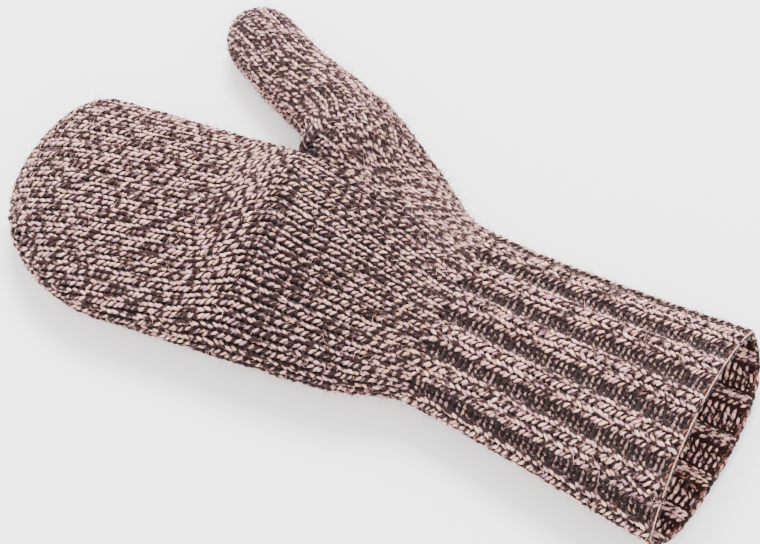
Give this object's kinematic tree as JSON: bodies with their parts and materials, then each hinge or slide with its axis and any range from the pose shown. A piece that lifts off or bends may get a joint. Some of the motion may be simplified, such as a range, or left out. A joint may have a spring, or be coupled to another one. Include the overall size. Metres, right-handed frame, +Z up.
{
  "type": "knitted mitten",
  "caption": "Hand-knitted wool mitten lying palm up, with a long ribbed cuff, a rounded fingertip and a separate thumb.",
  "frame": {"origin": "middle of the mitten's outline in plan, on the surface that it lies on", "axes": "+X from the fingertip to the cuff's open end, +Y to the thumb's side, +Z up out of the palm"},
  "size_m": [0.3249, 0.176, 0.0476],
  "materials": {
    "marled_wool": "two-ply marled wool, pinkish beige and dark brown, matte and slightly hairy",
    "edge_wool": "the same wool where the dark ply shows most, matte",
    "pale_thread": "fine pale sewing thread, matte"
  },
  "bodies": {
    "hand": {"palm_and_back": "marled_wool", "thumb_gusset": "marled_wool"},
    "cuff": {"cuff_ribbing": "marled_wool", "cast_on_edge": "edge_wool", "edge_thread": "pale_thread", "cast_on_yarn_end": "edge_wool"},
    "fingers": {"finger_tube": "marled_wool", "fingertip_decreases": "marled_wool", "fingertip_gather": "edge_wool", "fingertip_yarn_end": "edge_wool"},
    "thumb": {"thumb_tube": "marled_wool", "thumb_tip_decreases": "marled_wool", "thumb_gather": "edge_wool", "thumb_yarn_end": "edge_wool"}
  },
  "joints": [
    {"name": "wrist_bend", "type": "hinge", "parent": "hand", "child": "cuff", "pos_m": [0.03525, -0.01326, 0.0162], "axis": [0.0476, -0.9989, 0], "range_deg": [-30, 45]},
    {"name": "finger_fold", "type": "hinge", "parent": "hand", "child": "fingers", "pos_m": [-0.07932, -0.03088, 0.01545], "axis": [-0.1736, 0.9848, 0], "range_deg": [0, 60]},
    {"name": "thumb_swing", "type": "hinge", "parent": "hand", "child": "thumb", "pos_m": [-0.05074, 0.04686, 0.013], "axis": [0, 0, -1], "range_deg": [-12, 20]}
  ]
}
